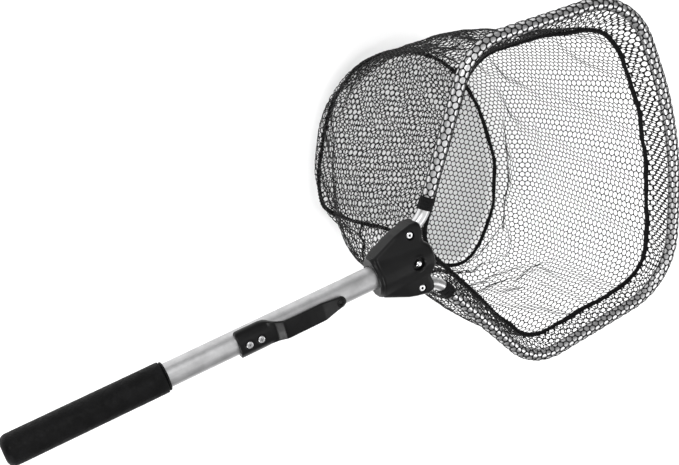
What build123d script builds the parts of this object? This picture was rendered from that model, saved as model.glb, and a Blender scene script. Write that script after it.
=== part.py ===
"""Landing net: a short-handled net with a belt clip, a moulded yoke, a bent hoop and a deep mesh bag.

Frame: the origin is the middle of the hand grip, +X runs along the handle towards the hoop,
+Z stands up from the hoop's plane on the side the bag opens to, and the bag hangs to -Z.
Sizes are millimetres. Each physical piece is one STEP file in parts/.
"""

from build123d import *
import math
import os

# ---- Driving dimensions ----------------------------------------------------------------
TUBE_R = 12.0            # handle tube, outside
TUBE_WALL = 1.2
GRIP_R = 15.4
GRIP_HALF = 79.0         # the grip is centred on the origin
BUTT_WALL = 5.0          # rubber closing the butt end
BUTT_ROUNDING = 8.0
PLUG_LENGTH = 14.0
PLUG_WALL = 2.0
MOUTH_X = 301.0          # open end of the yoke's barrel

YOKE_LENGTH = 70.0
YOKE_MOUTH_Y = 21.5      # half axes of the barrel's oval mouth
YOKE_MOUTH_Z = 16.5
YOKE_NOSE_R = 16.0
WING_HALF_THICK = 8.5
WING_TIP_Y = 43.5
BORE_CLEAR = 0.05        # handle tube in the barrel, radial
NOSE_WALL = 5.0
NOSE_ROUNDING = 5.0
WING_OUTLINE = ((3.0, 19.0), (54.0, WING_TIP_Y), (YOKE_LENGTH - 6.0, WING_TIP_Y - 1.0),
                (YOKE_LENGTH - 5.0, 27.0), (YOKE_LENGTH - 9.0, 20.0), (YOKE_LENGTH - 9.0, 10.0))
WING_ROUNDING = 3.0

HOOP_R = 6.2             # hoop tube, outside
HOOP_WALL = 1.2
SOCKET_CLEAR = 0.05
SCREW_X = MOUTH_X + 50.0  # the two hoop screws and the release button share this station
SCREW_Y = 30.5
HOOP_END_X = MOUTH_X + 36.0
NECK_BEND_X = MOUTH_X + 71.0
NECK_BEND_Y = 35.0
SHOULDER_X = MOUTH_X + 166.5
SHOULDER_Y = 187.0
FAR_CORNER_X = MOUTH_X + 368.0
FAR_CORNER_Y = 175.5
FAR_MID_X = MOUTH_X + 405.6
HOOP_BENDS = (30.0, 60.0, 80.0, 400.0, 80.0, 60.0, 30.0)

BUTTON_R = 3.6
BUTTON_TOP_Z = 17.4
BUTTON_RECESS_R = 6.6
BUTTON_RECESS_Z = 13.6
BUTTON_COLLAR_R = 9.4
BUTTON_COLLAR_Z = 17.2
BUTTON_FLANGE_R = 4.6
BUTTON_FLANGE_Z = 9.5
BUTTON_FLANGE_THICK = 1.2
SPRING_THICK = 0.8
SPRING_WIDTH = 8.0
SPRING_LOW_Z = -9.55
SPRING_REACH = 30.0      # from the button back to the spring's nose

SCREW_SHANK_R = 1.95
SCREW_HOLE_R = 2.05
SCREW_HEAD_R = 3.9
SCREW_HEAD_HEIGHT = 1.9
HEX_SOCKET_R = 1.6
NUT_R = 4.0
NUT_THICK = 3.0

CLIP_TAIL_X = MOUTH_X - 151.0
CLIP_ROOT_X = MOUTH_X - 110.0    # where the stiff pad ends and the springy tongue begins
CLIP_JOGGLE_X = MOUTH_X - 98.0   # where the tongue reaches its full height
CLIP_TAPER_X = MOUTH_X - 62.0
CLIP_TIP_X = MOUTH_X - 36.0
CLIP_SCREW_XS = (MOUTH_X - 141.0, MOUTH_X - 128.5)
CLIP_THICK = 3.0
CLIP_PAD_Z = 15.6                # top of the pad
CLIP_TONGUE_Z = 21.6             # top of the tongue
CLIP_TIP_Z = 18.0                # top of the tongue at its turned-in tip
CLIP_PAD_HALF = 12.0
CLIP_TONGUE_HALF = 9.6
CLIP_TIP_R = 5.8
CLIP_DIMPLE_R = 2.6
CLIP_DIMPLE_DEPTH = 0.8
CLIP_GAP = 0.3                   # free play at the tongue's flexing root
CLIP_SCREW_HEAD_R = 3.5
CLIP_SCREW_HEAD_HEIGHT = 1.5
CLIP_SCREW_SHANK_R = 1.6
CLIP_SCREW_DEPTH = 9.0

NET_THICK = 1.6                  # the netting's two knotted faces, as one sheet
SLEEVE_START_X = MOUTH_X + 82.0  # the sleeve's tied ends on the hoop's arms
SLEEVE_CLEAR = 0.1
SLEEVE_DROP = 22.0               # hoop centre down to the rim seam
SLEEVE_INSET = 20.0              # hoop centre in to the rim seam
TIE_WIDTH = 9.0
TIE_THICK = 1.4
BINDING_R = 2.6                  # the rim seam's rolled tape
BASE_BINDING_R = 2.6
BASE_Z = -310.0

RIM_BENDS = (400.0, 50.0, 45.0, 40.0, 45.0, 50.0)
RIM_NECK_X = MOUTH_X + 74.0      # where the rim seam's two near runs would meet
BASE_SEAM = ((346, -24), (322, 50), (268, 100), (208, 114), (150, 88), (108, 24), (92, -46),
             (130, -86), (186, -132), (232, -198), (272, -212), (320, -176), (350, -98))
WALL_FACETS = 40
WAIST_SHARE = 0.5                # the wall's fullest height, from rim to base
WAIST_BULGE = 8.0
NECK_SAG = (-26.0, -32.0)        # how far the slack wall hangs out below the neck
NECK_SAG_FACET = 22
NECK_SAG_REACH = 7               # facets to each side that share in it
SIDE_SEAM_FACET = 22
SIDE_SEAM_R = 1.3


# ---- Small helpers ---------------------------------------------------------------------
def along_x(x, y=0.0, z=0.0):
    """A plane across the handle at x, whose local X is +Y and local Y is +Z."""
    return Plane(origin=(x, y, z), x_dir=(0, 1, 0), z_dir=(1, 0, 0))


def rod_x(radius, x0, x1):
    return extrude(along_x(x0) * Circle(radius), x1 - x0)


def rod_z(radius, x, y, z0, z1):
    return extrude(Plane(origin=(x, y, z0)) * Circle(radius), z1 - z0)


def box_between(low, high):
    size = [b - a for a, b in zip(low, high)]
    middle = [(a + b) / 2 for a, b in zip(low, high)]
    return Pos(*middle) * Box(*size)


def mirrored(points):
    """The points that have y > 0, turned to -Y and taken in reverse order."""
    return [(x, -y) for x, y in reversed(points) if y > 0]


def inset_corner(before, corner, after, by):
    """Where two edges of an outline meet once each has moved inwards (to its left) by a distance."""
    into = Vector(corner[0] - before[0], corner[1] - before[1]).normalized()
    out = Vector(after[0] - corner[0], after[1] - corner[1]).normalized()
    left = Vector(-into.Y - out.Y, into.X + out.X).normalized()
    reach = by / left.dot(Vector(-into.Y, into.X))
    return corner[0] + left.X * reach, corner[1] + left.Y * reach


def ring_of_points(line, count, z):
    """Evenly spaced points along a closed line, moved to a height."""
    spots = [line.position_at(line.length * i / count, PositionMode.LENGTH) for i in range(count)]
    return [Vector(p.X, p.Y, z) for p in spots]


def grown(ring, by):
    """A ring of points moved outwards in its own plane."""
    moved = []
    for i, point in enumerate(ring):
        along = ring[(i + 1) % len(ring)] - ring[i - 1]
        outward = Vector(along.Y, -along.X).normalized()
        moved.append(point + outward * by)
    return moved


def between(ring_a, ring_b, share):
    return [a + (b - a) * share for a, b in zip(ring_a, ring_b)]


def ring_face(ring):
    return make_face(Polyline(*ring, close=True))


# ---- Handle ----------------------------------------------------------------------------
def make_handle_tube():
    x0 = -GRIP_HALF + BUTT_WALL
    x1 = MOUTH_X + YOKE_LENGTH - NOSE_WALL - 2.0
    tube = rod_x(TUBE_R, x0, x1) - rod_x(TUBE_R - TUBE_WALL, x0 - 1, x1 + 1)
    tube -= rod_z(BUTTON_R + 0.1, SCREW_X, 0, 0, TUBE_R + 1)
    for x in CLIP_SCREW_XS:
        tube -= rod_z(CLIP_SCREW_SHANK_R, x, 0, 0, TUBE_R + 1)
    return tube


def make_grip_sleeve():
    """Moulded rubber sleeve with a rounded, closed butt."""
    body = rod_x(GRIP_R, -GRIP_HALF, GRIP_HALF)
    body = fillet(body.edges().sort_by(Axis.X)[0], BUTT_ROUNDING)
    body = fillet(body.edges().sort_by(Axis.X)[-1], 1.5)
    return body - rod_x(TUBE_R, -GRIP_HALF + BUTT_WALL, GRIP_HALF + 1)


def make_tube_end_plug():
    """Plastic bung that keeps water out of the tube's butt end."""
    x0 = -GRIP_HALF + BUTT_WALL
    plug = rod_x(TUBE_R - TUBE_WALL, x0, x0 + PLUG_LENGTH)
    return plug - rod_x(TUBE_R - TUBE_WALL - PLUG_WALL, x0 + PLUG_WALL, x0 + PLUG_LENGTH + 1.0)


# ---- Belt clip -------------------------------------------------------------------------
def clip_side(points):
    """A side outline in the XZ plane drawn across the whole clip's width."""
    face = make_face(Plane.XZ * Polyline(*points, close=True))
    return extrude(face, CLIP_PAD_HALF + 2, both=True)


def make_clip_saddle():
    """Pad and saddle screwed to the tube."""
    x1 = CLIP_ROOT_X - CLIP_GAP / 2
    middle = (CLIP_TAIL_X + x1) / 2
    block = box_between((CLIP_TAIL_X, -CLIP_PAD_HALF, 5.0), (x1, CLIP_PAD_HALF, CLIP_PAD_Z))
    rounded = rod_x(TUBE_R + CLIP_THICK + 1.2, CLIP_TAIL_X, x1)
    saddle = block & rounded
    saddle -= rod_x(TUBE_R, CLIP_TAIL_X - 1, x1 + 1)
    plan = Plane(origin=(middle, 0, 0)) * RectangleRounded(x1 - CLIP_TAIL_X, 2 * CLIP_PAD_HALF, 3.0)
    saddle &= extrude(plan, 30) + box_between((middle, -20, 0), (x1, 20, 30))
    for x in CLIP_SCREW_XS:
        saddle -= rod_z(CLIP_SCREW_SHANK_R + 0.1, x, 0, TUBE_R - 2, CLIP_PAD_Z + 1)
    return saddle


def make_clip_tongue():
    """Springy tongue: a joggle up from the pad, a flat run and a turned-in round tip."""
    x0 = CLIP_ROOT_X + CLIP_GAP / 2
    under = CLIP_THICK
    side = clip_side([
        (x0, CLIP_PAD_Z), (x0 + 2.0, CLIP_PAD_Z + 0.6), (CLIP_JOGGLE_X - 3.0, CLIP_TONGUE_Z - 0.9),
        (CLIP_JOGGLE_X, CLIP_TONGUE_Z), (CLIP_TAPER_X, CLIP_TONGUE_Z), (CLIP_TIP_X, CLIP_TIP_Z),
        (CLIP_TIP_X, CLIP_TIP_Z - under), (CLIP_TAPER_X, CLIP_TONGUE_Z - under),
        (CLIP_JOGGLE_X + 1.0, CLIP_TONGUE_Z - under), (CLIP_JOGGLE_X - 2.0, CLIP_TONGUE_Z - under - 0.9),
        (x0 + 3.0, CLIP_PAD_Z - under + 0.6), (x0, CLIP_PAD_Z - under)])
    tip_x = CLIP_TIP_X - CLIP_TIP_R
    half = [(x0, CLIP_PAD_HALF), (x0 + 6.0, CLIP_PAD_HALF - 0.6), (CLIP_JOGGLE_X + 2.0, CLIP_TONGUE_HALF),
            (CLIP_TAPER_X, CLIP_TONGUE_HALF), (tip_x, CLIP_TIP_R - 0.4)]
    plan = make_face(Polyline(*half, *mirrored(half), close=True))
    plan += Pos(tip_x, 0) * Circle(CLIP_TIP_R - 0.4)
    tongue = side & extrude(plan, 40)
    dimple_z = CLIP_TIP_Z + CLIP_TIP_R * (CLIP_TONGUE_Z - CLIP_TIP_Z) / (CLIP_TIP_X - CLIP_TAPER_X)
    return tongue - rod_z(CLIP_DIMPLE_R, tip_x, 0, dimple_z - CLIP_DIMPLE_DEPTH, dimple_z + 3)


def make_clip_screws():
    screws = []
    for x in CLIP_SCREW_XS:
        head = rod_z(CLIP_SCREW_HEAD_R, x, 0, CLIP_PAD_Z, CLIP_PAD_Z + CLIP_SCREW_HEAD_HEIGHT)
        head = fillet(head.edges().sort_by(Axis.Z)[-1], 0.9)
        for turn in (0, 90):
            cross = Pos(x, 0, CLIP_PAD_Z + CLIP_SCREW_HEAD_HEIGHT) * Rot(0, 0, turn) * Box(3.6, 0.8, 1.6)
            head -= cross
        shank = rod_z(CLIP_SCREW_SHANK_R, x, 0, CLIP_PAD_Z - CLIP_SCREW_DEPTH, CLIP_PAD_Z + 0.1)
        screws.append(head + shank)
    return Compound(children=screws)


# ---- Release button --------------------------------------------------------------------
def make_release_button():
    top = rod_z(BUTTON_R, SCREW_X, 0, BUTTON_FLANGE_Z - 0.1, BUTTON_TOP_Z)
    top = fillet(top.edges().sort_by(Axis.Z)[-1], 2.4)
    flange = rod_z(BUTTON_FLANGE_R, SCREW_X, 0, BUTTON_FLANGE_Z - BUTTON_FLANGE_THICK, BUTTON_FLANGE_Z)
    return top + flange


def make_snap_spring():
    """Flat V spring inside the tube: its upper leg carries the button, its lower leg rests on the wall."""
    top_z = BUTTON_FLANGE_Z - BUTTON_FLANGE_THICK - SPRING_THICK / 2
    nose_x = SCREW_X - SPRING_REACH
    line = Polyline((SCREW_X + 6, top_z), (SCREW_X - 7, top_z), (nose_x, 1.4), (nose_x - 1.4, 0),
                    (nose_x, -1.4), (SCREW_X - 7, SPRING_LOW_Z), (SCREW_X + 6, SPRING_LOW_Z))
    return extrude(Plane.XZ * trace(line, SPRING_THICK), SPRING_WIDTH / 2, both=True)


# ---- Yoke ------------------------------------------------------------------------------
def hoop_points():
    half = [(HOOP_END_X, 0), (NECK_BEND_X, NECK_BEND_Y), (SHOULDER_X, SHOULDER_Y),
            (FAR_CORNER_X, FAR_CORNER_Y)]
    slope = (NECK_BEND_Y - SCREW_Y) / (NECK_BEND_X - SCREW_X)
    half[0] = (HOOP_END_X, SCREW_Y + slope * (HOOP_END_X - SCREW_X))
    return [*half, (FAR_MID_X, 0), *mirrored(half)]


def hoop_path():
    return FilletPolyline(*hoop_points(), radius=list(HOOP_BENDS))


def swept_ring(path, outer, inner):
    plane = Plane(path @ 0, z_dir=path % 0)
    ring = Circle(outer)
    if inner:
        ring -= Circle(inner)
    return sweep(plane * ring, path=path)


def make_yoke():
    """One moulding: an oval barrel for the handle and two wings with sockets for the hoop's ends."""
    x0, x1 = MOUTH_X, MOUTH_X + YOKE_LENGTH
    mouth = along_x(x0) * Ellipse(YOKE_MOUTH_Y, YOKE_MOUTH_Z)
    nose = along_x(x1) * Ellipse(YOKE_NOSE_R + 1.0, YOKE_NOSE_R)
    barrel = loft([mouth, nose])
    barrel = fillet(barrel.edges().sort_by(Axis.X)[-1], NOSE_ROUNDING)
    half = [(x0 + x, y) for x, y in WING_OUTLINE]
    wings = make_face(Polyline(*half, *mirrored(half), close=True))
    wings = fillet(wings.vertices().filter_by(lambda v: abs(v.Y) > 24), 4.0)
    plate = extrude(wings, WING_HALF_THICK, both=True)
    plate = fillet(plate.faces().sort_by(Axis.Z)[-1].edges(), WING_ROUNDING)
    plate = fillet(plate.faces().sort_by(Axis.Z)[0].edges(), WING_ROUNDING)
    body = barrel + plate
    body += rod_z(BUTTON_COLLAR_R, SCREW_X, 0, 5.0, BUTTON_COLLAR_Z)
    body -= rod_x(TUBE_R + BORE_CLEAR, x0 - 1, x1 - NOSE_WALL)
    body -= rod_z(BUTTON_RECESS_R, SCREW_X, 0, BUTTON_RECESS_Z, BUTTON_COLLAR_Z + 2)
    body -= rod_z(BUTTON_R + 0.15, SCREW_X, 0, 0, BUTTON_COLLAR_Z + 2)
    body -= swept_ring(hoop_path(), HOOP_R + SOCKET_CLEAR, 0)
    for y in (SCREW_Y, -SCREW_Y):
        body -= rod_z(SCREW_HOLE_R, SCREW_X, y, -20, 20)
        body -= rod_z(NUT_R + 0.1, SCREW_X, y, -20, -WING_HALF_THICK + 0.1)
    return body


def make_hoop_screws():
    screws = []
    for y in (SCREW_Y, -SCREW_Y):
        z = WING_HALF_THICK
        head = rod_z(SCREW_HEAD_R, SCREW_X, y, z, z + SCREW_HEAD_HEIGHT)
        head = fillet(head.edges().sort_by(Axis.Z)[-1], 1.2)
        socket = extrude(Plane(origin=(SCREW_X, y, z + 0.5)) * RegularPolygon(HEX_SOCKET_R, 6), 3)
        shank = rod_z(SCREW_SHANK_R, SCREW_X, y, -z - NUT_THICK, z + 0.1)
        screws.append(head - socket + shank)
    return Compound(children=screws)


def make_hoop_nuts():
    nuts = []
    for y in (SCREW_Y, -SCREW_Y):
        plane = Plane(origin=(SCREW_X, y, -WING_HALF_THICK - NUT_THICK + 0.1))
        nut = extrude(plane * RegularPolygon(NUT_R - 0.05, 6), NUT_THICK)
        nuts.append(nut - rod_z(SCREW_SHANK_R, SCREW_X, y, -20, 0))
    return Compound(children=nuts)


# ---- Hoop and netting ------------------------------------------------------------------
def make_hoop_frame():
    hoop = swept_ring(hoop_path(), HOOP_R, HOOP_R - HOOP_WALL)
    for y in (SCREW_Y, -SCREW_Y):
        hoop -= rod_z(SCREW_HOLE_R, SCREW_X, y, -20, 20)
    return hoop


def sleeve_path():
    """The hoop's line between the two tied ends of the sleeve."""
    points = hoop_points()
    share = (SLEEVE_START_X - NECK_BEND_X) / (SHOULDER_X - NECK_BEND_X)
    start = (SLEEVE_START_X, NECK_BEND_Y + share * (SHOULDER_Y - NECK_BEND_Y))
    middle = points[2:-2]
    return FilletPolyline(start, *middle, (start[0], -start[1]), radius=list(HOOP_BENDS[1:-1]))


def make_sleeve_net():
    """Double netting folded round the hoop and hanging to the rim seam."""
    path = sleeve_path()
    inner = HOOP_R + SLEEVE_CLEAR
    outer = inner + NET_THICK
    # local X of the section points into the hoop's opening
    plane = Plane(path @ 0, x_dir=Vector(0, 0, 1).cross(path % 0), z_dir=path % 0)
    inward = 1 if plane.x_dir.X > 0 else -1
    downward = 1 if plane.y_dir.Z < 0 else -1
    length = math.hypot(SLEEVE_INSET, SLEEVE_DROP)
    angle = math.degrees(math.atan2(downward * SLEEVE_DROP, inward * SLEEVE_INSET))
    skirt = Pos((inner + length) / 2, 0) * Rectangle(length - inner, NET_THICK)
    skirt = Rot(0, 0, angle) * skirt
    section = (Circle(outer) + skirt) - Circle(inner)
    return sweep(plane * section, path=path)


def make_sleeve_ties():
    """Tape bands that hold the sleeve's ends on the hoop's arms."""
    path = sleeve_path()
    ties = []
    for at, sign in ((0.0, -1), (1.0, 1)):
        direction = path % at * sign
        plane = Plane(path @ at, z_dir=direction)
        ring = Circle(HOOP_R + TIE_THICK + SLEEVE_CLEAR) - Circle(HOOP_R + SLEEVE_CLEAR)
        ties.append(extrude(plane * ring, TIE_WIDTH))
    return Compound(children=ties)


def rim_line():
    """The rim seam: the hoop's outline moved in, closed across the neck below the yoke."""
    shoulder, corner, far = hoop_points()[2:5]
    neck = (RIM_NECK_X, 0)
    loop = [far, corner, shoulder, neck, *mirrored([corner, shoulder])]
    inset = [inset_corner(loop[i - 1], loop[i], loop[(i + 1) % len(loop)], SLEEVE_INSET)
             for i in range(len(loop))]
    inset[3] = neck
    return FilletPolyline(*inset, radius=list(RIM_BENDS), close=True)


def base_line():
    return Spline(*[(MOUTH_X + x, y) for x, y in BASE_SEAM], periodic=True)


def wall_rings():
    """The bag's wall as three rings of points: rim seam, waist and base seam."""
    rim = ring_of_points(rim_line(), WALL_FACETS, -SLEEVE_DROP)
    start = min(range(WALL_FACETS), key=lambda i: -rim[i].X)
    rim = rim[start:] + rim[:start]
    if rim[3].Y < 0:
        rim = [rim[0], *reversed(rim[1:])]
    base = ring_of_points(base_line(), WALL_FACETS, BASE_Z)
    waist = grown(between(rim, base, WAIST_SHARE), WAIST_BULGE)
    for step in range(-NECK_SAG_REACH, NECK_SAG_REACH + 1):
        share = math.cos(math.pi / 2 * step / (NECK_SAG_REACH + 1)) ** 2
        waist[NECK_SAG_FACET + step] += Vector(*NECK_SAG) * share
    return rim, waist, base


def make_bag_wall_net():
    """One strip of netting that goes once round the bag."""
    outer = [ring_face(ring) for ring in wall_rings()]
    inner = [ring_face(grown(ring, -NET_THICK)) for ring in wall_rings()]
    return loft(outer, ruled=True) - loft(inner, ruled=True)


def make_bag_base_net():
    return extrude(ring_face(wall_rings()[2]), -NET_THICK)


def seam_roll(line, z, radius):
    """A rolled tape along a closed seam."""
    raised = Pos(0, 0, z) * line
    plane = Plane(raised @ 0, z_dir=raised % 0)
    return sweep(plane * Circle(radius), path=raised)


def make_side_seam():
    """The lapped seam that closes the wall strip, from the rim to the base."""
    spots = [ring[SIDE_SEAM_FACET] for ring in wall_rings()]
    seam = Pos(*spots[1]) * Sphere(SIDE_SEAM_R)
    for low, high in zip(spots[1:], spots):
        seam += extrude(Plane(low, z_dir=high - low) * Circle(SIDE_SEAM_R), (high - low).length)
    return seam


NODES = {
    "handle_tube": make_handle_tube,
    "grip_sleeve": make_grip_sleeve,
    "tube_end_plug": make_tube_end_plug,
    "clip_saddle": make_clip_saddle,
    "clip_tongue": make_clip_tongue,
    "clip_screws": make_clip_screws,
    "release_button": make_release_button,
    "snap_spring": make_snap_spring,
    "yoke": make_yoke,
    "hoop_screws": make_hoop_screws,
    "hoop_nuts": make_hoop_nuts,
    "hoop_frame": make_hoop_frame,
    "sleeve_net": make_sleeve_net,
    "sleeve_ties": make_sleeve_ties,
    "rim_binding": lambda: seam_roll(rim_line(), -SLEEVE_DROP, BINDING_R),
    "bag_wall_net": make_bag_wall_net,
    "bag_base_net": make_bag_base_net,
    "base_binding": lambda: seam_roll(base_line(), BASE_Z, BASE_BINDING_R),
    "side_seam": make_side_seam,
}

os.makedirs("parts", exist_ok=True)
for name, make in NODES.items():
    shape = make()
    print(name, round(shape.volume), shape.is_valid)
    export_step(shape, f"parts/{name}.step")
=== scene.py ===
"""Landing net: rubber grip, moulded clip and yoke, real netting, rolled seams and their finishes.

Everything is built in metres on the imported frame. Stations along the handle are counted from the
yoke's open mouth, and the hoop lies in the plane z = 0.
"""

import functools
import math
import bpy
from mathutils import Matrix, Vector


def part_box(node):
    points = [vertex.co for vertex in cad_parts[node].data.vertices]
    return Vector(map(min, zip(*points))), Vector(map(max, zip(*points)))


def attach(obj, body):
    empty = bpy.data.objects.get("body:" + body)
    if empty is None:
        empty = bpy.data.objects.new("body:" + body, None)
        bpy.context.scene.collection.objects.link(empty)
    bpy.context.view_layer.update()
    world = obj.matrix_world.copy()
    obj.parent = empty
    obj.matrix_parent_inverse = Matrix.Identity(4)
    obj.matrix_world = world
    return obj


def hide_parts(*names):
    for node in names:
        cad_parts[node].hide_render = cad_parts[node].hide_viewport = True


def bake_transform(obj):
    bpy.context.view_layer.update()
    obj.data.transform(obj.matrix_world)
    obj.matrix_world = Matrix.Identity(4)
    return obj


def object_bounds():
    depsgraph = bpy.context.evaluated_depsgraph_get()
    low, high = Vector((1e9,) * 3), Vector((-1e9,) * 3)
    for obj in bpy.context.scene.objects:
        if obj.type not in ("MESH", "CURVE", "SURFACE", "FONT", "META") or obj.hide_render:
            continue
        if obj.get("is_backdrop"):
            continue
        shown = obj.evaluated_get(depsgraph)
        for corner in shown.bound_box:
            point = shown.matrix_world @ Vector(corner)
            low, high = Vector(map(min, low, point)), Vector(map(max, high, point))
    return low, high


bl_info = {
    "name": "Landing Net",
    "version": (1, 0, 0),
    "blender": (4, 5, 0),
    "location": "3D View > Sidebar > Landing Net",
    "description": "Builds the visible pieces of a landing net on its packed frame",
    "category": "Object",
}

import bmesh
import bpy
import numpy as np
from mathutils import Matrix, Vector, noise

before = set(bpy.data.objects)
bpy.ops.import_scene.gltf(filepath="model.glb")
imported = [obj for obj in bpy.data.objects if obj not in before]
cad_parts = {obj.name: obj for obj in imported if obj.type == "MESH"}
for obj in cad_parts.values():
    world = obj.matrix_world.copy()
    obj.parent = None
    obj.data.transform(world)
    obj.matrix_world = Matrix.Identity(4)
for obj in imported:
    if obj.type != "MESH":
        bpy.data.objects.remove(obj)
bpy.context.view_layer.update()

MM = 0.001
GRIP_LOW, GRIP_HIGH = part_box("grip_sleeve")
BASE_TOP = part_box("bag_base_net")[1].z
MOUTH_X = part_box("yoke")[0].x
TUBE_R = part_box("handle_tube")[1].z
BUTTON_X = sum(corner.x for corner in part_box("release_button")) / 2
HOOP_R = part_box("hoop_frame")[1].z
SCREW_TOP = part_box("clip_screws")[1].z
HOOP_SCREW_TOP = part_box("hoop_screws")[1].z

# The hoop's corners as stations from the mouth, and the bend at each (half of it; the rest mirrors).
HOOP_HALF = ((36.0, 27.5), (71.0, 35.0), (166.5, 187.0), (368.0, 175.5))
HOOP_FAR = 405.6
HOOP_BENDS = (30.0, 60.0, 80.0, 400.0, 80.0, 60.0, 30.0)
YOKE_LIP = 3.6  # the moulding's lip stands this far in from the station that all others are measured from
SCREW_STATION = 50.0
SCREW_Y = 30.5
SLEEVE_START = 82.0
SEAM_DROP = 22.0
SEAM_INSET = 20.0
RIM_NECK = 74.0
RIM_BENDS = (400.0, 50.0, 45.0, 40.0, 45.0, 50.0)
BASE_SEAM = ((346, -24), (322, 50), (268, 100), (208, 114), (150, 88), (108, 24), (92, -46),
             (130, -86), (186, -132), (232, -198), (272, -212), (320, -176), (350, -98))
SIDE_SEAM_SHARE = 0.55
SETTLING_FRAMES = 26
SETTLING_LIMIT = 0.014
# Sags of the slack netting, in millimetres: below the neck, beside it, and of the rim seam.
NECK_SAG = (-24.0, -35.0)
NECK_SAG_PLACE = 0.57
NECK_SAG_REACH = 0.22
CHEEK_SAG = (-10.0, 12.0)
CHEEK_SAG_PLACE = 0.36
CHEEK_SAG_REACH = 0.17
LOW_SIDE_SAG = 8.0
CORNER_SAG = 12.0

# The clip, in millimetres from the mouth: its ends, its screws, and (station, size) pairs along it.
CLIP_TAIL, CLIP_TIP, CLIP_TIP_R = -151.0, -36.0, 5.8
CLIP_SCREWS = (-141.0, -128.5)
CLIP_CREST = ((-151, 15.6), (-115, 15.6), (-112.5, 15.7), (-111, 16.4), (-104.5, 20.9), (-102, 21.5),
              (-98, 21.7), (-78, 21.8), (-62, 21.4), (-48, 19.3), (-36, 18.0))
CLIP_HALF_WIDTH = ((-151, 14), (-125, 14), (-120, 13.3), (-114, 11.2), (-109, 10.3), (-103, 9.9),
                   (-92, 9.6), (-62, 9.6), (-47, 6.6), (-41.8, 5.8))

# The yoke's plan: half its width at each station, and how far it reaches at each offset.
YOKE_LENGTH = 66.0
YOKE_HALF_WIDTH = ((1.5, 21.5), (33.5, 35.2), (44, 37.9), (59, 40.4))
YOKE_REACH = ((0, 70), (9, 69.8), (12.5, 69), (15, 66.8), (17.5, 63.8), (20.5, 62.2), (23.5, 62.8),
              (27, 64.2), (30, 64.6), (36, 64.6), (38.4, 63.4), (39.9, 61.2), (40.4, 60))
# The tools that open the yoke, as (height, radius) pairs.
BUTTON_WELL = ((0, 3.75), (13.6, 3.75), (13.601, 6.6), (16.4, 6.6), (18.4, 8.4))
SCREW_HOLE = ((-20, 2.05), (8.5, 2.05), (8.501, 4.5), (11.0, 4.5), (14.0, 6.5))
NUT_POCKET = ((-20, 4.1), (-8.4, 4.1))
SPRING_THICK = 0.8
ARM_IN_YOKE = 50  # millimetres of the hoop's arm that the socket's tool follows

# The wall's sewn lengths, its grid, and how much coarser the sheet is that settles for it.
WALL_LENGTHS = 3
WALL_COLUMNS, WALL_STEPS = 480, 121
COARSE_ACROSS, COARSE_DOWN = 3, 4


# ---- Settings --------------------------------------------------------------------------
def length(label, text, size, low=0.0):
    return bpy.props.FloatProperty(name=label, description=text, default=size, min=low,
                                   subtype="DISTANCE", unit="LENGTH", precision=5)


def share(label, text, value):
    return bpy.props.FloatProperty(name=label, description=text, default=value, min=0.0, max=1.0,
                                   subtype="FACTOR")


def colour(label, text, value):
    return bpy.props.FloatVectorProperty(name=label, description=text, default=value, size=3,
                                         min=0.0, max=1.0, subtype="COLOR")


class GripSettings(bpy.types.PropertyGroup):
    colour: colour("Rubber", "Colour of the grip's rubber", (0.0022, 0.0022, 0.0024))
    roughness: share("Roughness", "How matt the rubber is", 0.52)
    grain: length("Grain", "Height of the rubber's moulded grain", 0.00012)
    collar: length("Collar", "Length of the narrow ring at the grip's front", 0.003)


class MetalSettings(bpy.types.PropertyGroup):
    tube: colour("Tube", "Colour of the handle's aluminium", (0.5, 0.5, 0.505))
    hoop: colour("Hoop", "Colour of the hoop's aluminium", (0.62, 0.62, 0.625))
    steel: colour("Steel", "Colour of the screws, nuts and button", (0.72, 0.72, 0.73))
    tube_roughness: share("Tube roughness", "How matt the drawn tube is", 0.46)


class MouldingSettings(bpy.types.PropertyGroup):
    colour: colour("Plastic", "Colour of the black mouldings", (0.0022, 0.0022, 0.0024))
    roughness: share("Roughness", "How matt the mouldings are", 0.34)
    clip_thickness: length("Clip thickness", "Thickness of the clip's springy tongue", 0.003, 0.001)
    edge: length("Yoke edge", "Radius along the yoke's outer edges", 0.0025, 0.0005)
    blend: length("Yoke blend", "How softly the barrel runs into the wings", 0.007, 0.0005)


class NettingSettings(bpy.types.PropertyGroup):
    colour: colour("Twine", "Colour of the netting twine", (0.0035, 0.0035, 0.0038))
    pitch: length("Cell pitch", "Distance between cells down the bag", 0.0075, 0.003)
    row: length("Row pitch", "Distance between rows of cells round the bag", 0.0065, 0.003)
    twine: length("Twine", "Width of the twine between two cells", 0.00086, 0.0002)
    slack: share("Slack", "Extra cloth in the wall, which hangs in soft folds", 0.035)
    pull: share("Pull", "Share of full gravity that the settling wall feels", 0.14)
    sag: length("Base sag", "How far the base hangs below its seam", 0.006)
    seed: bpy.props.IntProperty(name="Seed", description="Seed of the small irregularities",
                                default=7, min=0)


class SeamSettings(bpy.types.PropertyGroup):
    colour: colour("Tape", "Colour of the seam tape and thread", (0.0025, 0.0025, 0.0028))
    radius: length("Seam radius", "Radius of the rolled tape on rim and base", 0.0024, 0.0005)
    thread: length("Thread radius", "Radius of the overlock thread", 0.00036, 0.0001)
    stitch: length("Stitch", "Length of one overlock stitch", 0.0042, 0.001)
    tie_width: length("Tie width", "Width of the tape tied round each arm", 0.009, 0.002)


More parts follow.
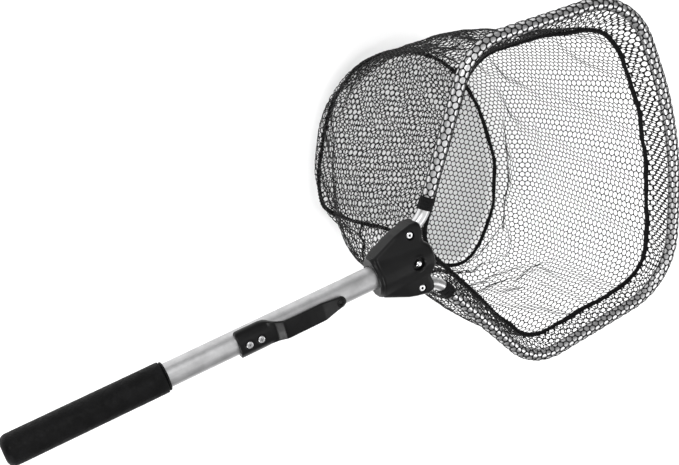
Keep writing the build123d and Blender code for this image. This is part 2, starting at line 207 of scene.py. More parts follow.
class StageSettings(bpy.types.PropertyGroup):
    lens: bpy.props.FloatProperty(name="Lens", description="Focal length of the camera", default=57.26,
                                  min=1.0, unit="CAMERA")
    place: bpy.props.FloatVectorProperty(name="Camera", description="Where the camera stands",
                                         default=(-0.05997, 0.49469, 0.88975), size=3,
                                         subtype="TRANSLATION", unit="LENGTH")
    right: bpy.props.FloatVectorProperty(name="Right", description="The camera's right-hand direction",
                                         default=(0.85996, -0.24119, 0.44978), size=3,
                                         subtype="DIRECTION")
    up: bpy.props.FloatVectorProperty(name="Up", description="The camera's upward direction",
                                      default=(0.39105, 0.87768, -0.27703), size=3,
                                      subtype="DIRECTION")
    floor: colour("Floor", "Colour of the pale floor", (0.93, 0.93, 0.93))


# ---- Lines and surfaces ----------------------------------------------------------------
def rounded_line(corners, bends, closed, step):
    """A polyline with an arc at each corner, as evenly spaced points."""
    corners = np.array(corners, float)
    count = len(corners)
    points = [] if closed else [corners[0]]
    turning = range(count) if closed else range(1, count - 1)
    for bend, i in zip(bends, turning):
        corner = corners[i]
        back = corners[i - 1] - corner
        ahead = corners[(i + 1) % count] - corner
        back /= np.linalg.norm(back)
        ahead /= np.linalg.norm(ahead)
        half = math.acos(float(np.clip(back @ ahead, -1, 1))) / 2
        reach = bend / math.tan(half)
        middle = (back + ahead) / np.linalg.norm(back + ahead) * (bend / math.sin(half)) + corner
        first = corner + back * reach - middle
        last = corner + ahead * reach - middle
        sweep = math.pi - 2 * half
        for s in np.linspace(0, 1, 33):
            mix = math.sin((1 - s) * sweep) * first + math.sin(s * sweep) * last
            points.append(middle + mix / math.sin(sweep))
    if not closed:
        points.append(corners[-1])
    return even_points(np.array(points), closed, step)


def even_points(points, closed, step=None, count=None):
    """The same line with evenly spaced points; a closed line does not repeat its first."""
    ring = np.vstack([points, points[:1]]) if closed else points
    runs = np.linalg.norm(np.diff(ring, axis=0), axis=1)
    keep = np.concatenate([[True], runs > 1e-9])
    ring = ring[keep]
    along = np.concatenate([[0], np.cumsum(np.linalg.norm(np.diff(ring, axis=0), axis=1))])
    if count is None:
        count = max(8, round(along[-1] / step))
    spots = np.linspace(0, along[-1], count, endpoint=not closed)
    return np.stack([np.interp(spots, along, ring[:, k]) for k in range(ring.shape[1])], 1)


def line_length(points, closed=False):
    ring = np.vstack([points, points[:1]]) if closed else points
    return float(np.linalg.norm(np.diff(ring, axis=0), axis=1).sum())


def smooth_ring(knots, count):
    """A smooth closed line through knots, by a periodic cubic."""
    knots = np.array(knots, float)
    total = len(knots)
    gaps = np.linalg.norm(np.roll(knots, -1, 0) - knots, axis=1)
    rows = np.zeros((total, total))
    right = np.zeros((total, knots.shape[1]))
    for i in range(total):
        before, after = gaps[i - 1], gaps[i]
        rows[i, i - 1] += 1 / before
        rows[i, i] += 2 / before + 2 / after
        rows[i, (i + 1) % total] += 1 / after
        right[i] = 3 * ((knots[i] - knots[i - 1]) / before ** 2
                        + (knots[(i + 1) % total] - knots[i]) / after ** 2)
    slopes = np.linalg.solve(rows, right)
    points = []
    for i in range(total):
        j = (i + 1) % total
        s = np.linspace(0, 1, 60, endpoint=False)[:, None]
        points.append((2 * s ** 3 - 3 * s ** 2 + 1) * knots[i] + (s ** 3 - 2 * s ** 2 + s) * gaps[i] * slopes[i]
                      + (3 * s ** 2 - 2 * s ** 3) * knots[j] + (s ** 3 - s ** 2) * gaps[i] * slopes[j])
    return even_points(np.vstack(points), True, count=count)


def tangents(points, closed):
    if closed:
        along = np.roll(points, -1, 0) - np.roll(points, 1, 0)
    else:
        along = np.gradient(points, axis=0)
    return along / np.maximum(np.linalg.norm(along, axis=1, keepdims=True), 1e-12)


def in_space(flat, height):
    """Stations and offsets in millimetres from the mouth, as points of the frame in metres."""
    return np.column_stack([MOUTH_X + flat[:, 0] * MM, flat[:, 1] * MM,
                            np.full(len(flat), height * MM)])


def sized(spots, pairs):
    """The size at each spot, from (place, size) pairs."""
    return np.interp(spots, *zip(*pairs))


def side_and_lift(along):
    """Two directions square to each tangent of a line, the first of them level."""
    side = np.cross(along, np.array([0.0, 0.0, 1.0]))
    upright = np.linalg.norm(side, axis=1) < 0.2
    side[upright] = np.cross(along[upright], np.array([0.0, 1.0, 0.0]))
    side /= np.linalg.norm(side, axis=1, keepdims=True)
    return side, np.cross(side, along)


def mirrored(corners):
    return [(x, -y) for x, y in reversed(corners) if y > 0]


def hoop_line(step=1.5):
    half = list(HOOP_HALF)
    return rounded_line([*half, (HOOP_FAR, 0), *mirrored(half)], HOOP_BENDS, False, step)


def sleeve_line(step=1.5):
    """The stretch of the hoop between the two tied ends."""
    neck, shoulder, corner = HOOP_HALF[1:]
    rise = (SLEEVE_START - neck[0]) / (shoulder[0] - neck[0])
    start = (SLEEVE_START, neck[1] + rise * (shoulder[1] - neck[1]))
    half = [start, shoulder, corner]
    return rounded_line([*half, (HOOP_FAR, 0), *mirrored(half)], HOOP_BENDS[1:-1], False, step)


def rim_line(count=1200):
    """The rim seam, from its farthest point and round by the +Y side."""
    shoulder, corner = HOOP_HALF[2:]
    loop = [(HOOP_FAR, 0), corner, shoulder, (RIM_NECK, 0), *mirrored([corner, shoulder])]
    loop = np.array(loop, float)
    inset = []
    for i, spot in enumerate(loop):
        into = spot - loop[i - 1]
        out = loop[(i + 1) % len(loop)] - spot
        into /= np.linalg.norm(into)
        out /= np.linalg.norm(out)
        left = np.array([-into[1] - out[1], into[0] + out[0]])
        left /= np.linalg.norm(left)
        inset.append(spot + left * SEAM_INSET / (left @ np.array([-into[1], into[0]])))
    inset[3] = loop[3]  # the neck keeps its own station
    ring = rounded_line(inset, RIM_BENDS, True, 1.0)
    ring = even_points(np.roll(ring, -int(ring[:, 0].argmax()), 0), True, count=count)
    ring[:, 1] -= LOW_SIDE_SAG * ease(-ring[:, 1], 20.0, 120.0)
    ring[:, 1] -= CORNER_SAG * ease(ring[:, 1], 60.0, 140.0) * ease(ring[:, 0], 240.0, 340.0)
    return ring


def base_ring(count=1200):
    return smooth_ring(BASE_SEAM, count)


def soft_noise(points, size, seed):
    """Smooth noise from -1 to 1 at each point, with features of a given size."""
    shift = Vector((seed * 17.3, seed * 5.1, seed * 9.7))
    return np.array([noise.noise(Vector(p) / size + shift) for p in points])


def surface_from(grid, closed):
    """A function from grid coordinates to points and unit normals, smooth between grid points."""
    if closed:
        across = np.roll(grid, -1, 0) - np.roll(grid, 1, 0)
    else:
        across = np.gradient(grid, axis=0)
    down = np.gradient(grid, axis=1)
    facing = np.cross(across, down)
    facing /= np.maximum(np.linalg.norm(facing, axis=2, keepdims=True), 1e-12)
    columns, steps = grid.shape[:2]

    def place(u, v):
        u = np.mod(u, columns) if closed else np.clip(u, 0, columns - 1.000001)
        v = np.clip(v, 0, steps - 1.000001)
        i, j = u.astype(int), v.astype(int)
        fu, fv = (u - i)[:, None], (v - j)[:, None]
        k = (i + 1) % columns if closed else i + 1
        out = []
        for field in (grid, facing):
            out.append((field[i, j] * (1 - fu) + field[k, j] * fu) * (1 - fv)
                       + (field[i, j + 1] * (1 - fu) + field[k, j + 1] * fu) * fv)
        normals = out[1] / np.maximum(np.linalg.norm(out[1], axis=1, keepdims=True), 1e-12)
        return out[0], normals

    return place


# ---- Mesh building ---------------------------------------------------------------------
def new_piece(name, points, faces, smooth_angle=40.0):
    mesh = bpy.data.meshes.new(name)
    mesh.from_pydata([tuple(p) for p in np.asarray(points, float)], [], faces)
    mesh.validate()
    mesh.shade_smooth()
    if smooth_angle:
        mesh.set_sharp_from_angle(angle=math.radians(smooth_angle))
    piece = bpy.data.objects.new(name, mesh)
    bpy.context.scene.collection.objects.link(piece)
    return piece


def outward(piece):
    """Turns every face of a closed piece to face out."""
    mesh = bmesh.new()
    mesh.from_mesh(piece.data)
    bmesh.ops.remove_doubles(mesh, verts=mesh.verts, dist=1e-7)
    bmesh.ops.recalc_face_normals(mesh, faces=mesh.faces)
    mesh.to_mesh(piece.data)
    mesh.free()
    return piece


def grid_faces(rows, columns, wrap_rows=False, wrap_columns=False, start=0):
    i = np.arange(rows if wrap_rows else rows - 1)
    j = np.arange(columns if wrap_columns else columns - 1)
    i, j = np.meshgrid(i, j, indexing="ij")
    i2, j2 = (i + 1) % rows, (j + 1) % columns
    quads = np.stack([i * columns + j, i2 * columns + j, i2 * columns + j2, i * columns + j2], -1)
    return (quads.reshape(-1, 4) + start).tolist()


def end_caps(rows, around):
    last = (rows - 1) * around
    return [list(range(around)), list(range(last, last + around))]


def points_of(piece):
    return np.array([v.co for v in piece.data.vertices])


def set_points(piece, points):
    piece.data.vertices.foreach_set("co", points.astype(np.float32).ravel())
    piece.data.update()
    return piece


def tube_along(name, line, radii, around=16, closed=False, squeeze=0.0, twist=0.0):
    """A round tube on a line of points; radii is one number or one for each point."""
    side, lift = side_and_lift(tangents(line, closed))
    angle = np.linspace(0, 2 * math.pi, around, endpoint=False)
    turn = angle[None, :] + twist * np.arange(len(line))[:, None]
    reach = np.broadcast_to(np.asarray(radii, float).reshape(-1, 1), (len(line), 1))
    reach = reach * (1 + squeeze * np.cos(2 * turn))
    points = (line[:, None, :] + (np.cos(angle) * reach)[..., None] * side[:, None, :]
              + (np.sin(angle) * reach)[..., None] * lift[:, None, :])
    faces = grid_faces(len(line), around, wrap_rows=closed, wrap_columns=True)
    if not closed:
        faces += end_caps(len(line), around)
    return outward(new_piece(name, points.reshape(-1, 3), faces))


def lathe(name, profile, around, base, axis):
    """Turns a profile of (distance along, radius) about an axis through base."""
    axis = Vector(axis)
    side = axis.orthogonal().normalized()
    other = axis.cross(side)
    points = []
    for along, radius in profile:
        for k in range(around):
            a = 2 * math.pi * k / around
            points.append(Vector(base) + axis * along + (side * math.cos(a) + other * math.sin(a)) * radius)
    faces = grid_faces(len(profile), around, wrap_columns=True) + end_caps(len(profile), around)
    return outward(new_piece(name, points, faces))


def upright_tool(name, profile, around, x, y=0.0):
    """A shape turned about a vertical line, from (height, radius) pairs in millimetres."""
    return lathe(name, [(z * MM, r * MM) for z, r in profile], around, (x, y, 0), (0, 0, 1))


def slab(name, top, bottom):
    """A solid between two grids of points that share one plan outline."""
    rows, columns = top.shape[:2]
    count = rows * columns
    points = np.vstack([top.reshape(-1, 3), bottom.reshape(-1, 3)])
    faces = grid_faces(rows, columns) + grid_faces(rows, columns, start=count)
    edge = [j for j in range(columns)]
    edge += [i * columns + columns - 1 for i in range(1, rows)]
    edge += [(rows - 1) * columns + j for j in range(columns - 2, -1, -1)]
    edge += [i * columns for i in range(rows - 2, 0, -1)]
    for a, b in zip(edge, edge[1:] + edge[:1]):
        faces.append([a, b, b + count, a + count])
    return outward(new_piece(name, points, faces))


def edge_drop(distance, radius):
    """How far a rounded edge has fallen at a distance in from it."""
    inside = np.clip(radius - distance, 0, radius)
    return radius - np.sqrt(np.maximum(radius ** 2 - inside ** 2, 0))


def soft_max(a, b, width):
    gap = np.clip(width - np.abs(a - b), 0, None) / np.maximum(width, 1e-9)
    return np.maximum(a, b) + gap ** 2 * width / 4


def ease(value, low, high):
    s = np.clip((value - low) / (high - low), 0, 1)
    return s * s * (3 - 2 * s)


def cut(piece, tools):
    """Takes each tool's shape out of a piece."""
    for tool in tools:
        step = piece.modifiers.new("cut", "BOOLEAN")
        step.operation = "DIFFERENCE"
        step.solver = "EXACT"
        step.object = tool
        settled = piece.evaluated_get(bpy.context.evaluated_depsgraph_get())
        mesh = bpy.data.meshes.new_from_object(settled)
        piece.modifiers.clear()
        piece.data = mesh
        bpy.data.objects.remove(tool)
    piece.data.shade_smooth()
    piece.data.set_sharp_from_angle(angle=math.radians(30))
    return piece


# ---- Finishes --------------------------------------------------------------------------
class Finish:
    """A material being put together: a principled shader and the nodes that feed it."""

    def __init__(self, name, base, roughness, metallic=0.0):
        self.material = bpy.data.materials.new(name)
        self.material.use_nodes = True
        self.nodes = self.material.node_tree.nodes
        self.links = self.material.node_tree.links
        self.shader = self.nodes["Principled BSDF"]
        self.shader.inputs["Base Color"].default_value = (*base, 1)
        self.shader.inputs["Roughness"].default_value = roughness
        self.shader.inputs["Metallic"].default_value = metallic
        self.material.diffuse_color = (*base, 1)
        self.place = self.nodes.new("ShaderNodeTexCoord").outputs["Object"]
        self.bump = None

    def stretched(self, scale):
        node = self.nodes.new("ShaderNodeMapping")
        node.inputs["Scale"].default_value = scale
        self.links.new(self.place, node.inputs["Vector"])
        return node.outputs["Vector"]

    def grain(self, scale, detail=4.0, rough=0.55, vector=None):
        node = self.nodes.new("ShaderNodeTexNoise")
        node.inputs["Scale"].default_value = scale
        node.inputs["Detail"].default_value = detail
        node.inputs["Roughness"].default_value = rough
        self.links.new(vector or self.place, node.inputs["Vector"])
        return node.outputs["Fac"]

    def pores(self, scale):
        node = self.nodes.new("ShaderNodeTexVoronoi")
        node.inputs["Scale"].default_value = scale
        self.links.new(self.place, node.inputs["Vector"])
        return node.outputs["Distance"]

    def bands(self, scale, distortion, direction):
        node = self.nodes.new("ShaderNodeTexWave")
        node.bands_direction = direction
        node.inputs["Scale"].default_value = scale
        node.inputs["Distortion"].default_value = distortion
        node.inputs["Detail"].default_value = 2.0
        self.links.new(self.place, node.inputs["Vector"])
        return node.outputs["Fac"]

    def vary_colour(self, mask, dark, light, low=0.3, high=0.7):
        ramp = self.nodes.new("ShaderNodeValToRGB")
        ramp.color_ramp.elements[0].position = low
        ramp.color_ramp.elements[1].position = high
        ramp.color_ramp.elements[0].color = (*dark, 1)
        ramp.color_ramp.elements[1].color = (*light, 1)
        self.links.new(mask, ramp.inputs["Fac"])
        self.links.new(ramp.outputs["Color"], self.shader.inputs["Base Color"])

    # Darker below one height and lighter above another; used to paint shade into screw drives and down the head
    # sides
    def shade_by_height(self, low, high, dark, light):
        split = self.nodes.new("ShaderNodeSeparateXYZ")
        self.links.new(self.place, split.inputs["Vector"])
        rise = self.nodes.new("ShaderNodeMapRange")
        rise.inputs["From Min"].default_value = low
        rise.inputs["From Max"].default_value = high
        self.links.new(split.outputs["Z"], rise.inputs["Value"])
        self.vary_colour(rise.outputs["Result"], dark, light, 0.1, 0.9)

    def vary_roughness(self, mask, low, high):
        spread = self.nodes.new("ShaderNodeMapRange")
        spread.inputs["From Min"].default_value = 0.25
        spread.inputs["From Max"].default_value = 0.75
        spread.inputs["To Min"].default_value = low
        spread.inputs["To Max"].default_value = high
        self.links.new(mask, spread.inputs["Value"])
        self.links.new(spread.outputs["Result"], self.shader.inputs["Roughness"])

    def raise_by(self, mask, depth, strength=1.0):
        node = self.nodes.new("ShaderNodeBump")
        node.inputs["Distance"].default_value = depth
        node.inputs["Strength"].default_value = strength
        self.links.new(mask, node.inputs["Height"])
        if self.bump:
            self.links.new(self.bump, node.inputs["Normal"])
        self.bump = node.outputs["Normal"]
        self.links.new(self.bump, self.shader.inputs["Normal"])


def scaled(base, factor):
    return tuple(min(1.0, c * factor) for c in base)


def drawn_aluminium(name, base, roughness, lengthwise):
    """Satin tube: fine draw lines, cloudy tone and a few handling marks."""
    finish = Finish(name, base, roughness, 1.0)
    stretch = finish.stretched((6, 320, 320) if lengthwise else (90, 90, 90))
    lines = finish.grain(3.0, 6.0, 0.6, stretch)
    clouds = finish.grain(70.0, 5.0, 0.6)
    finish.vary_colour(clouds, scaled(base, 0.86), scaled(base, 1.12), 0.32, 0.68)
    finish.vary_roughness(lines, roughness - 0.07, roughness + 0.1)
    finish.raise_by(lines, 0.00003, 0.5)
    finish.raise_by(finish.grain(900.0, 2.0), 0.00001, 0.5)
    return finish.material


def bright_steel(name, base, roughness=0.2, shade_heights=None):
    """Plated steel; with two heights given, the screw's drive and the sides of its head below them are painted
    dark as shade, fading out between the two.
    """
    finish = Finish(name, base, roughness, 1.0)
    if shade_heights:
        # painted shade in the screw's drive and down the sides of its head
        finish.shade_by_height(shade_heights[0], shade_heights[1], scaled(base, 0.05), base)
    else:
        finish.vary_colour(finish.grain(500.0, 3.0), scaled(base, 0.8), scaled(base, 1.1))
    finish.vary_roughness(finish.grain(1400.0, 3.0), roughness - 0.05, roughness + 0.14)
    finish.raise_by(finish.grain(2200.0, 2.0), 0.00001, 0.6)
    return finish.material


def black_plastic(name, base, roughness):
    """Moulded plastic: spark-eroded grain, faint flow and slightly rubbed edges."""
    finish = Finish(name, base, roughness)
    finish.shader.inputs["Specular IOR Level"].default_value = 0.2
    finish.vary_colour(finish.grain(55.0, 4.0), scaled(base, 0.75), scaled(base, 1.5))
    finish.vary_roughness(finish.grain(160.0, 5.0, 0.65), roughness - 0.06, roughness + 0.12)
    finish.raise_by(finish.grain(2600.0, 3.0), 0.00002, 0.45)
    finish.raise_by(finish.grain(90.0, 3.0), 0.00012, 0.25)
    return finish.material


def grip_rubber(settings):
    """Soft rubber with a moulded grain of small pips and a dusty bloom."""
    finish = Finish("GripRubber", settings.colour, settings.roughness)
    finish.shader.inputs["Specular IOR Level"].default_value = 0.12
    finish.vary_colour(finish.grain(85.0, 5.0, 0.7), scaled(settings.colour, 0.6),
                       scaled(settings.colour, 2.4), 0.38, 0.78)
    finish.vary_roughness(finish.grain(240.0, 4.0), settings.roughness - 0.08, settings.roughness + 0.18)
    finish.raise_by(finish.pores(620.0), 0.00022, 0.7)
    finish.raise_by(finish.grain(1500.0, 3.0), 0.00006, 0.6)
    return finish.material


def net_nylon(settings):
    """Braided nylon twine: fine slanting yarns and a waxy shine."""
    finish = Finish("NetNylon", settings.colour, 0.46)
    finish.shader.inputs["Specular IOR Level"].default_value = 0.2
    finish.vary_colour(finish.grain(300.0, 4.0), scaled(settings.colour, 0.6),
                       scaled(settings.colour, 2.0))
    finish.vary_roughness(finish.grain(800.0, 2.0), 0.38, 0.6)
    finish.raise_by(finish.bands(900.0, 3.0, "DIAGONAL"), 0.00005, 0.5)
    return finish.material


def seam_tape(name, base):
    """Woven tape: crossed ribs, loose fibre and a dull sheen."""
    finish = Finish(name, base, 0.78)
    finish.shader.inputs["Specular IOR Level"].default_value = 0.15
    finish.shader.inputs["Sheen Weight"].default_value = 0.02
    finish.shader.inputs["Sheen Roughness"].default_value = 0.5
    finish.vary_colour(finish.grain(420.0, 5.0, 0.7), scaled(base, 0.5), scaled(base, 2.6), 0.35, 0.75)
    finish.raise_by(finish.bands(420.0, 2.0, "X"), 0.00012, 0.7)
    finish.raise_by(finish.bands(420.0, 2.0, "Y"), 0.00012, 0.7)
    finish.raise_by(finish.grain(700.0, 4.0), 0.0001, 0.6)
    return finish.material


def paint(piece, material):
    piece.data.materials.clear()
    piece.data.materials.append(material)
    return piece


def finish_node(node, material):
    """Gives a CAD node, which keeps its own shape, its material."""
    return paint(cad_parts[node], material)


def dress(piece, material, body, slot, *nodes):
    """Paints a piece and says which body it rides and the nodes it stands for; slot is not used."""
    paint(piece, material)
    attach(piece, body)
    if nodes:
        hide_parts(*nodes)


# ---- Handle ----------------------------------------------------------------------------
class LANDINGNET_OT_handle(bpy.types.Operator):
    """Rubber grip, and the finishes of the tube, its plug and the clip's screws"""
    bl_idname = "landing_net.handle"
    bl_label = "Handle and Grip"

    def execute(self, context):
        settings = context.scene.landing_net_grip
        metal = context.scene.landing_net_metal
        tube = drawn_aluminium("TubeAluminium", metal.tube, metal.tube_roughness, True)
        finish_node("handle_tube", tube)
        # Heights below which the clip screws are painted dark as shade, in their drives and down their heads'
        # sides
        shade_heights = (SCREW_TOP - 0.9 * MM, SCREW_TOP - 0.6 * MM)
        finish_node("clip_screws", bright_steel("ClipScrewSteel", metal.steel, 0.22, shade_heights))
        finish_node("tube_end_plug", black_plastic("PlugPlastic", (0.02, 0.02, 0.021), 0.5))
        grip = self.make_grip(settings)
        dress(grip, grip_rubber(settings), "handle", "grip_rubber", "grip_sleeve")
        return {"FINISHED"}

    def make_grip(self, settings):
        """One closed sleeve: round butt, long grained body, a groove and a narrow front ring."""
        radius = GRIP_HIGH.z
        back, front = GRIP_LOW.x, GRIP_HIGH.x
        butt = 8 * MM
        profile = [(back, 0.0006)]
        profile += [(back + butt * (1 - math.cos(a)), radius - butt + butt * math.sin(a))
                    for a in np.linspace(0.02, math.pi / 2, 14)]
        shoulder = front - settings.collar
        profile += [(x, radius) for x in np.linspace(back + butt, shoulder - 0.9 * MM, 260)[1:]]
        profile += [(shoulder - 0.35 * MM, radius - 0.25 * MM), (shoulder, radius - 0.9 * MM),
                    (shoulder + 0.1 * MM, radius - 2.0 * MM), (shoulder + 0.5 * MM, radius - 2.2 * MM),
                    (shoulder + 0.9 * MM, radius - 1.3 * MM), (shoulder + 1.5 * MM, radius - 1.0 * MM),
                    (front - 0.6 * MM, radius - 1.1 * MM), (front - 0.1 * MM, radius - 1.6 * MM),
                    (front, radius - 2.2 * MM), (front, TUBE_R + 0.05 * MM),
                    (front - 2 * MM, TUBE_R - 0.3 * MM)]
        grip = lathe("rubber_grip", profile, 180, (0, 0, 0), (1, 0, 0))
        points = points_of(grip)
        reach = np.hypot(points[:, 1], points[:, 2])
        body = ease(points[:, 0], back + 1 * MM, back + 6 * MM)
        body = body * (1 - ease(points[:, 0], shoulder - 1.5 * MM, shoulder))
        height = settings.grain * (soft_noise(points, 1.5 * MM, 3) + 0.5 * soft_noise(points, 9 * MM, 5)) * body
        share_out = np.where(reach > TUBE_R, height / np.maximum(reach, 1e-6), 0)
        points[:, 1:] *= (1 + share_out)[:, None]
        return set_points(grip, points)


# ---- Belt clip -------------------------------------------------------------------------
class LANDINGNET_OT_clip(bpy.types.Operator):
    """The moulded belt clip: saddle, S bend, springy tongue and cupped tip in one piece"""
    bl_idname = "landing_net.clip"
    bl_label = "Belt Clip"

    def execute(self, context):
        settings = context.scene.landing_net_moulding
        clip = self.make_clip(settings)
        paint(clip, black_plastic("ClipPlastic", settings.colour, settings.roughness - 0.04))
        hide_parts("clip_saddle", "clip_tongue")
        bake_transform(clip)
        return {"FINISHED"}

    def make_clip(self, settings):
        tail, tip, tip_radius = CLIP_TAIL, CLIP_TIP, CLIP_TIP_R
        thick = settings.clip_thickness / MM
        along = np.concatenate([tail + 3 * (1 - np.cos(np.linspace(0, math.pi / 2, 12)))[:-1],
                                np.arange(tail + 3, tip - tip_radius, 0.42),
                                tip - tip_radius + tip_radius * np.sin(np.linspace(0, math.pi / 2, 26))])
        across = np.sin(np.linspace(-math.pi / 2, math.pi / 2, 61))
        smoother = np.exp(-np.linspace(-2, 2, 9) ** 2)
        crest, half = (np.convolve(np.pad(sized(along, pairs), 4, "edge"), smoother / smoother.sum(), "valid")
                       for pairs in (CLIP_CREST, CLIP_HALF_WIDTH))
        half -= edge_drop(along - tail, 3.0)
        nose = np.sqrt(np.maximum(tip_radius ** 2 - np.clip(along - tip + tip_radius, 0, None) ** 2, 0.01))
        half = np.where(along > tip - tip_radius, nose, half)
        x = along[:, None] + 0 * across[None, :]
        y = half[:, None] * across[None, :]
        saddle = 1 - ease(along, -119.0, -110.5)[:, None]
        side = half[:, None] * (1 - np.abs(across[None, :]))
        barrel = np.sqrt(np.maximum((TUBE_R / MM + 4.4) ** 2 - y ** 2, 0))
        crown = crest[:, None] - 0.004 * y ** 2 * (1 - saddle)
        fallen = -soft_max(-barrel, -crown, 1.0)
        top = saddle * fallen + (1 - saddle) * crown
        top -= edge_drop(side, 1.1) + edge_drop(np.clip(x - tail, 0, None), 1.1)
        hollow = np.sqrt(np.maximum((TUBE_R / MM + 0.04) ** 2 - y ** 2, 0))
        under = saddle * np.maximum(hollow, 5.0) + (1 - saddle) * (crown - thick + edge_drop(side, 0.9))
        under = np.minimum(under, top - 0.05)
        for screw in CLIP_SCREWS:
            away = np.hypot(x - screw, y)
            top -= 0.4 * np.exp(-((away - 4.2) / 0.45) ** 2)
        away = np.hypot(x - (tip - tip_radius), y)
        top += 0.5 * np.exp(-((away - 3.6) / 0.55) ** 2) - 1.3 * (1 - ease(away, 1.9, 2.9))
        grids = [np.stack([MOUTH_X + x * MM, y * MM, z * MM], -1) for z in (top, under)]
        return slab("belt_clip", *grids)


# ---- Yoke ------------------------------------------------------------------------------
class LANDINGNET_OT_yoke(bpy.types.Operator):
    """The moulded yoke that joins the handle and both ends of the hoop"""
    bl_idname = "landing_net.yoke"
    bl_label = "Yoke"

    def execute(self, context):
        settings = context.scene.landing_net_moulding
        yoke = self.make_blank(settings)
        cut(yoke, self.make_cutters())
        plastic = black_plastic("YokePlastic", settings.colour, settings.roughness)
        dress(yoke, plastic, "head", "yoke_plastic", "yoke")
        return {"FINISHED"}

    def make_blank(self, settings):
        """Barrel and wings as one soft skin over the plan outline."""
        edge, blend = settings.edge / MM, settings.blend / MM
        t = np.concatenate([[0, 0.004, 0.008, 0.013], np.linspace(0.02, 0.93, 120),
                            0.93 + 0.07 * np.sin(np.linspace(0, math.pi / 2, 24))[1:]])[:, None]
        v = np.sin(np.linspace(-math.pi / 2, math.pi / 2, 141))[None, :]
        half = sized(t * YOKE_LENGTH, YOKE_HALF_WIDTH)
        y = half * v
        reach = sized(np.abs(y), YOKE_REACH)
        x = YOKE_LIP + t * (reach - YOKE_LIP)
        wing = ease(x, -3.0, 10.0)
        wide = np.interp(x, [0, 70], [21.5, 17.0])
        tall = np.interp(x, [0, 70], [16.5, 16.0])
        barrel = tall * np.sqrt(np.maximum(1 - (y / wide) ** 2, 0))
        facet = np.clip((np.abs(y) - 5.0) / np.maximum(half - 5.0, 1.0), 0, 1)
        plate = wing * (15.6 - 5.8 * facet)
        body = soft_max(barrel, plate, np.maximum(blend * wing, 0.01))
        side = half * (1 - np.abs(v))
        front = reach - x
        front_edge = np.interp(np.abs(y), [0, 12, 20], [4.5, 4.5, edge])
        fall = wing * (edge_drop(side, edge) + 0.16 * np.clip(4.5 - side, 0, None))
        fall = fall + edge_drop(front, front_edge) + 0.12 * np.clip(5 - front, 0, None)
        away = np.hypot(x - SCREW_STATION, y)
        collar = 17.2 - 2.2 * ease(away, 8.2, 10.4)
        top = np.maximum(body - fall, 0)
        top = np.where(away < 10.4, soft_max(top, collar, 0.6), top)
        from_lip = x - YOKE_LIP
        trim = 1 - 0.045 * np.clip(1 - from_lip / 0.9, 0, 1) - 0.022 * np.exp(-((from_lip - 3.7) / 0.5) ** 2)
        bottom = -np.maximum(body - fall, 0)
        grids = [np.stack([MOUTH_X + x * MM, y * trim * MM, z * trim * MM], -1) for z in (top, bottom)]
        return slab("yoke_moulding", *grids)

    def make_cutters(self):
        bore = TUBE_R + 0.06 * MM
        tools = [lathe("bore", [(-2 * MM, bore + 2.6 * MM), (0.9 * MM, bore), (61 * MM, bore)], 96,
                       (MOUTH_X + YOKE_LIP * MM, 0, 0), (1, 0, 0))]
        tools.append(upright_tool("well", BUTTON_WELL, 72, BUTTON_X))
        arms = hoop_line(1.0)[:ARM_IN_YOKE]
        for side in (1, -1):
            arm = arms * np.array([1, side])
            tools.append(tube_along("socket", in_space(arm, 0), HOOP_R + 0.06 * MM, 48))
            centre = (MOUTH_X + SCREW_STATION * MM, side * SCREW_Y * MM)
            tools.append(upright_tool("screw_hole", SCREW_HOLE, 48, *centre))
            tools.append(upright_tool("nut_pocket", NUT_POCKET, 6, *centre))
        return tools


# ---- Button, hoop and hardware ---------------------------------------------------------
class LANDINGNET_OT_hardware(bpy.types.Operator):
    """Finishes of the hoop, its screws and nuts, the snap button and its spring"""
    bl_idname = "landing_net.hardware"
    bl_label = "Hoop and Hardware"

    def execute(self, context):
        metal = context.scene.landing_net_metal
        finish_node("hoop_frame", drawn_aluminium("HoopAluminium", metal.hoop, 0.3, False))
        # Heights below which the hoop screws are painted dark as shade, in their sockets and down their heads'
        # sides
        shade_heights = (HOOP_SCREW_TOP - 1.2 * MM, HOOP_SCREW_TOP - 0.7 * MM)
        finish_node("hoop_screws", bright_steel("HoopScrewSteel", metal.steel, 0.24, shade_heights))
        finish_node("hoop_nuts", bright_steel("NutSteel", scaled(metal.steel, 0.85), 0.34))
        finish_node("release_button", bright_steel("ButtonSteel", metal.steel, 0.12))
        spring = self.make_spring()
        paint(spring, bright_steel("SpringSteel", scaled(metal.steel, 0.7), 0.3))
        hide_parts("snap_spring")
        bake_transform(spring)
        return {"FINISHED"}

    def make_spring(self):
        """The V spring in the tube, built at rest; its upper leg is the one that the button presses down."""
        low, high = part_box("snap_spring")
        half_thick = SPRING_THICK / 2
        top, bottom = high.z / MM - half_thick, low.z / MM + half_thick
        back, nose, front = (BUTTON_X / MM - 7, low.x / MM + half_thick + 0.4, high.x / MM)
        corners = [(front, top), (back, top), (nose, 0), (back, bottom), (front, bottom)]
        line = rounded_line(corners, [4.0, 1.6, 4.0], False, 0.4)
        along = tangents(line, False)
        out = np.stack([-along[:, 1], along[:, 0]], 1)
        wide = (high.y - low.y) / MM / 2
        ring = [(-wide, -0.6), (-wide + 0.2, -1), (wide - 0.2, -1), (wide, -0.6),
                (wide, 0.6), (wide - 0.2, 1), (-wide + 0.2, 1), (-wide, 0.6)]
        points = []
        for spot, normal in zip(line, out):
            for y, lift in ring:
                x, z = spot + normal * lift * half_thick
                points.append((x * MM, y * MM, z * MM))
        faces = grid_faces(len(line), len(ring), wrap_columns=True) + end_caps(len(line), len(ring))
        return outward(new_piece("button_spring", points, faces))


